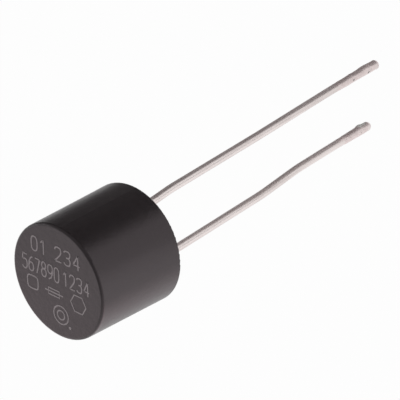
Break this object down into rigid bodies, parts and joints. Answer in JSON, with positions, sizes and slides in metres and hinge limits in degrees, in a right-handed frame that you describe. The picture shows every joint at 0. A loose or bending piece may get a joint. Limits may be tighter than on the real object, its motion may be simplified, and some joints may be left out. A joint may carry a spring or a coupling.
{
  "type": "radial lead fuse",
  "caption": "Round moulded fuse body with a closed end and straight tinned wire leads for soldering into a board.",
  "frame": {"origin": "midway between the two leads on the seating plane, which is the plane of the cap's open rim", "axes": "+Z out through the closed end of the cap, X through both leads where they leave the base, and the leads run down along -Z"},
  "size_m": [0.0086, 0.0086, 0.0327],
  "materials": {
    "cap_plastic": "matte",
    "base_plastic": "matte",
    "tinned_wire": "satin",
    "element_wire": "satin",
    "solder": "satin"
  },
  "bodies": {
    "root": {"cap": "cap_plastic", "base": "base_plastic", "lead_left": "tinned_wire", "lead_right": "tinned_wire", "element": "element_wire", "joint_left": "solder", "joint_right": "solder"}
  },
  "joints": []
}
